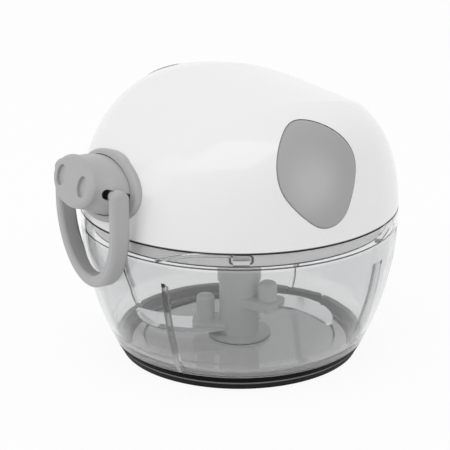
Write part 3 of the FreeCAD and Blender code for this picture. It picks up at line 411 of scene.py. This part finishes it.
NODE_FINISH = {
    "bowl": CLEAR, "foot_ring": FOOT, "pivot_pin": STEEL, "blade_hub": HUB,
    "lower_blade": STEEL, "upper_blade": STEEL, "lid_seal": SEAL, "lid_shell": LID_WHITE,
    "grip_pad_right": GRIP, "grip_pad_left": GRIP, "cord_collar": KNOB, "cord_eyelet": NYLON,
    "collar_retainer": STEEL, "mechanism_cover": COVER, "cover_screws": STEEL,
    "reel_bridge": COVER, "bridge_screws": STEEL, "reel_axle": STEEL, "axle_clip": STEEL,
    "cord_lead": CORD, "rewind_spring": STEEL, "cord_reel": NYLON, "wound_cord": CORD,
    "drive_socket": NYLON, "drive_pawls": NYLON, "pull_knob": KNOB, "knob_base": KNOB,
    "knob_cord": CORD, "pull_ring": KNOB,
}


def dress(piece, material):
    piece.data.materials.clear()
    piece.data.materials.append(material)


for node_name, node_material in NODE_FINISH.items():
    dress(frame["nodes"][node_name], node_material)


# ---------------------------------------------------------------- making a piece
def finished(name, shape):
    """The piece made of a finished shape, smooth but for its edges."""
    mesh = bpy.data.meshes.new(name)
    shape.to_mesh(mesh)
    shape.free()
    mesh.shade_smooth()
    mesh.set_sharp_from_angle(angle=math.radians(50))
    piece = bpy.data.objects.new(name, mesh)
    bpy.context.scene.collection.objects.link(piece)
    return piece


def lofted(name, count, places):
    """A closed skin through rings of points; each of places gives a ring's point for a share of a turn."""
    shape = bmesh.new()
    share = shape.verts.layers.float.new("share")
    for vertex in bmesh.ops.create_circle(shape, segments=count, radius=1.0)["verts"]:
        turn = math.atan2(vertex.co.y, vertex.co.x) / math.tau % 1.0
        vertex[share] = round(turn * count) % count / count
        vertex.co = places[0](vertex[share])
    first = ring = shape.edges[:]
    for place in places[1:]:
        grown = bmesh.ops.extrude_edge_only(shape, edges=ring)["geom"]
        ring = [edge for edge in grown if isinstance(edge, bmesh.types.BMEdge) and edge.is_boundary]
        for vertex in {vertex for edge in ring for vertex in edge.verts}:
            vertex.co = place(vertex[share])
    bmesh.ops.edgeloop_fill(shape, edges=first)
    cap = bmesh.ops.edgeloop_fill(shape, edges=ring)["faces"]
    bmesh.ops.poke(shape, faces=cap)
    bmesh.ops.recalc_face_normals(shape, faces=shape.faces[:])
    return finished(name, shape)


# ---------------------------------------------------------------- grip pads
def lid_side(y, z, proud):
    """Half width of the lid at a place seen from the side, and that far off its surface."""
    radius = RIM_RADIUS + proud
    level = (z - LID_BASE) / (DOME_HEIGHT + proud)
    half_width = radius * (1 - level ** SIDE_RISE) ** (1 / SIDE_FULLNESS)
    half_depth = radius * (1 - level ** END_RISE) ** (1 / END_FULLNESS)
    middle = CROWN_SHIFT * level ** 3
    return half_width * math.sqrt(1 - ((y - middle) / half_depth) ** 2)


def arc_points(centre, radius, start, end, count):
    """Points on an arc, without its last one."""
    return [centre + Vector((math.cos(t), math.sin(t))) * radius for t in steps(start, end, count)[:-1]]


def egg_outline(count):
    """The grip pad's outline seen from the side: two circles and the flanks that touch both."""
    top, low = Vector(PAD_TOP[1:]), Vector(PAD_LOW[1:])
    down = (low - top).normalized()
    across = Vector((-down.y, down.x))
    distance = (low - top).length
    from_top, from_low = PAD_FLANK - PAD_TOP[0], PAD_FLANK - PAD_LOW[0]
    along = (from_top ** 2 - from_low ** 2 + distance ** 2) / (2 * distance)
    aside = math.sqrt(from_top ** 2 - along ** 2)
    lean = math.atan2(down.y, down.x)

    def heading(a, b):
        """Direction from a to b, within half a turn of the lean."""
        return lean + math.remainder(math.atan2((b - a).y, (b - a).x) - lean, math.tau)

    one, other = (top + down * along + across * (side * aside) for side in (1, -1))
    spread_top = heading(one, top) - lean
    spread_low = heading(one, low) - lean
    points = arc_points(low, PAD_LOW[0], lean + spread_low, lean - spread_low, count)
    points += arc_points(other, PAD_FLANK, lean - spread_low, lean - spread_top, count)
    points += arc_points(top, PAD_TOP[0], lean - spread_top, lean + spread_top + math.tau, count)
    points += arc_points(one, PAD_FLANK, lean + spread_top, lean + spread_low, count)
    return points


def grip_pad(name, side):
    """Soft pad let into the lid's side, its edge rolled over into the gap round it."""
    outline = egg_outline(PAD_ARC_STEPS)
    centre = sum(outline, Vector((0, 0))) / len(outline)

    def ring(scale, inset, proud):
        def place(share):
            out = outline[round(share * len(outline)) % len(outline)] - centre
            y, z = centre + out * scale - out.normalized() * inset
            return Vector((side * lid_side(y, z, proud), y, z)) * MM
        return place

    rings = [ring(1.0, inset, proud) for inset, proud in PAD_EDGE]
    rings += [ring(scale, 0.0, PAD_EDGE[-1][1]) for scale in PAD_FACE]
    pad = lofted(name, len(outline), rings)
    dress(pad, GRIP)
    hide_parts("grip_" + name)
    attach(pad, "lid")


# ---------------------------------------------------------------- foot
def foot_outline():
    """Radius and height of the foot's corners, from its toe up its groove and lip and down its lining."""
    toe = [(bowl_side(level) - inset, z) for level, inset, z in FOOT_TOE]
    flank = [(bowl_side(z) - depth, z) for z, depth in FOOT_FLANK]
    lip = [(bowl_side(FOOT_HEIGHT) - inset, FOOT_HEIGHT + rise) for inset, rise in FOOT_LIP]
    wall, inside = LINING - FOOT_BITE, bowl_side(0) - FOOT_WIDTH
    top, sole_top = FOOT_HEIGHT + FOOT_LIFT, FOOT_SOLE + SOLE_LIFT
    return toe + flank + lip + [(wall, top), (wall, sole_top), (inside, sole_top), (inside, 0.0)]


def foot_ring():
    """Rubber foot moulded round the bowl's base, biting a little into the clear wall all round."""
    shape = bmesh.new()
    corners = [shape.verts.new((radius * MM, 0, height * MM)) for radius, height in foot_outline()]
    edges = [shape.edges.new((corners[i - 1], corners[i])) for i in range(len(corners))]
    bmesh.ops.spin(shape, geom=corners + edges, axis=(0, 0, 1), steps=240, angle=math.tau, use_merge=True)
    bmesh.ops.remove_doubles(shape, verts=shape.verts[:], dist=0.001 * MM)
    bmesh.ops.recalc_face_normals(shape, faces=shape.faces[:])
    ring = finished("foot_ring_moulded", shape)
    dress(ring, FOOT)
    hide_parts("foot_ring")
    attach(ring, "bowl")


# ---------------------------------------------------------------- cord
def drawn_cord():
    """The cord between collar and knob, a straight length along the pull line."""
    joints = {joint["name"]: joint for joint in frame["record"]["behaviour"]["joints"]}
    axis = Vector(joints["cord_pull"]["axis"])
    side = Vector((1, 0, 0))
    up = axis.cross(side)

    def ring(along):
        def place(share):
            turn = math.tau * share
            round_axis = side * math.cos(turn) + up * math.sin(turn)
            return (SNOUT + axis * along + round_axis * CORD_RADIUS) * MM
        return place

    rings = [ring(along) for along in steps(CORD_START, CORD_END, CORD_RINGS)]
    cord = lofted("drawn_cord", CORD_SIDES, rings)
    dress(cord, CORD)
    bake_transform(cord)


grip_pad("pad_right", 1)
grip_pad("pad_left", -1)
foot_ring()
drawn_cord()


# ---------------------------------------------------------------- floor, light and camera
WORLD_LIGHT = 0.80               # what the white surroundings give as light
FLOOR_WHITE = 0.92               # share of white in what the camera sees of the floor

IMAGE_SIDE = 450                 # pixels
IMAGE_SCALE = 2.4283             # pixels to a millimetre on the chopper's axis
AXIS_PIXEL = (239.32, 229.2)     # where the point that the camera turns to lies, across and down
SENSOR = 36.0                    # its width, in the lens's millimetres
CAMERA_TARGET = 0.05             # metres up the axis, for the camera
LAMP_TARGET = 0.06               # and for the lamps


def seen_rays(tree):
    """1 for what the camera sees, also in gloss and through clear plastic, and 0 for what gives light."""
    path = tree.nodes.new("ShaderNodeLightPath")
    names = ("Is Camera Ray", "Is Glossy Ray", "Is Transmission Ray")
    seen, glossy, clear = (Value(path.outputs[name]) for name in names)
    return seen + glossy + clear


def blended(tree, factor, first, second, output):
    """Put a mix of two shaders on a tree's output."""
    blend = tree.nodes.new("ShaderNodeMixShader")
    plug(tree, blend.inputs[0], factor)
    for slot, shader in zip((blend.inputs[1], blend.inputs[2]), (first, second)):
        tree.links.new(shader.outputs[0], slot)
    tree.links.new(blend.outputs[0], tree.nodes[output].inputs["Surface"])


def studio_floor():
    shape = bmesh.new()
    bmesh.ops.create_circle(shape, cap_ends=True, radius=6.0, segments=96)
    floor = finished("studio_floor", shape)
    finish = Finish("pale_floor", Roughness=0.9, Base_Color=(0.9, 0.9, 0.9, 1.0), Specular_IOR_Level=0.1)
    glow = finish.tree.nodes.new("ShaderNodeEmission")
    glow.inputs["Strength"].default_value = 1.0
    blended(finish.tree, seen_rays(finish.tree) * FLOOR_WHITE, finish.shader, glow, "Material Output")
    dress(floor, finish.material)


def studio_world():
    world = bpy.data.worlds.new("studio")
    bpy.context.scene.world = world
    world.use_nodes = True
    tree = world.node_tree
    dim = tree.nodes["Background"]
    dim.inputs["Strength"].default_value = WORLD_LIGHT
    white = tree.nodes.new("ShaderNodeBackground")
    for shader in (dim, white):
        shader.inputs["Color"].default_value = (1.0, 1.0, 1.0, 1.0)
    blended(tree, seen_rays(tree), dim, white, "World Output")


def aimed(name, data, azimuth, elevation, distance, target):
    """A lamp or camera that far from a point on the axis at the target's height, turned to it."""
    holder = bpy.data.objects.new(name, data)
    bpy.context.scene.collection.objects.link(holder)
    turn, rise = math.radians(azimuth), math.radians(elevation)
    way = Vector((math.sin(turn) * math.cos(rise), -math.cos(turn) * math.cos(rise), math.sin(rise)))
    holder.location = way * distance + Vector((0, 0, target))
    holder.rotation_euler = way.to_track_quat("Z", "Y").to_euler()
    return holder


def soft_lamp(name, azimuth, elevation, distance, size, watts):
    lamp = bpy.data.lights.new(name, "AREA")
    lamp.shape = "RECTANGLE"
    lamp.size, lamp.size_y = size
    lamp.energy = watts
    aimed(name, lamp, azimuth, elevation, distance, LAMP_TARGET)


def camera(azimuth, elevation, distance):
    """Long lens, a little above the lid, with the snout to the left."""
    lens = bpy.data.cameras.new("camera")
    lens.sensor_width = SENSOR
    lens.lens = IMAGE_SCALE * (distance / MM) * SENSOR / IMAGE_SIDE
    lens.shift_x = -(AXIS_PIXEL[0] - IMAGE_SIDE / 2) / IMAGE_SIDE
    lens.shift_y = (AXIS_PIXEL[1] - IMAGE_SIDE / 2) / IMAGE_SIDE
    lens.clip_start = 0.01
    bpy.context.scene.camera = aimed("camera", lens, azimuth, elevation, distance, CAMERA_TARGET)


studio_floor()
studio_world()
soft_lamp("key_lamp", azimuth=22, elevation=60, distance=1.1, size=(0.9, 0.9), watts=2.2)
soft_lamp("side_lamp", azimuth=115, elevation=30, distance=1.2, size=(0.6, 1.0), watts=0.7)
soft_lamp("left_lamp", azimuth=-20, elevation=25, distance=1.2, size=(0.5, 1.0), watts=0.8)
camera(azimuth=59.5, elevation=19.45, distance=0.75)
bpy.context.scene.view_settings.view_transform = "Standard"
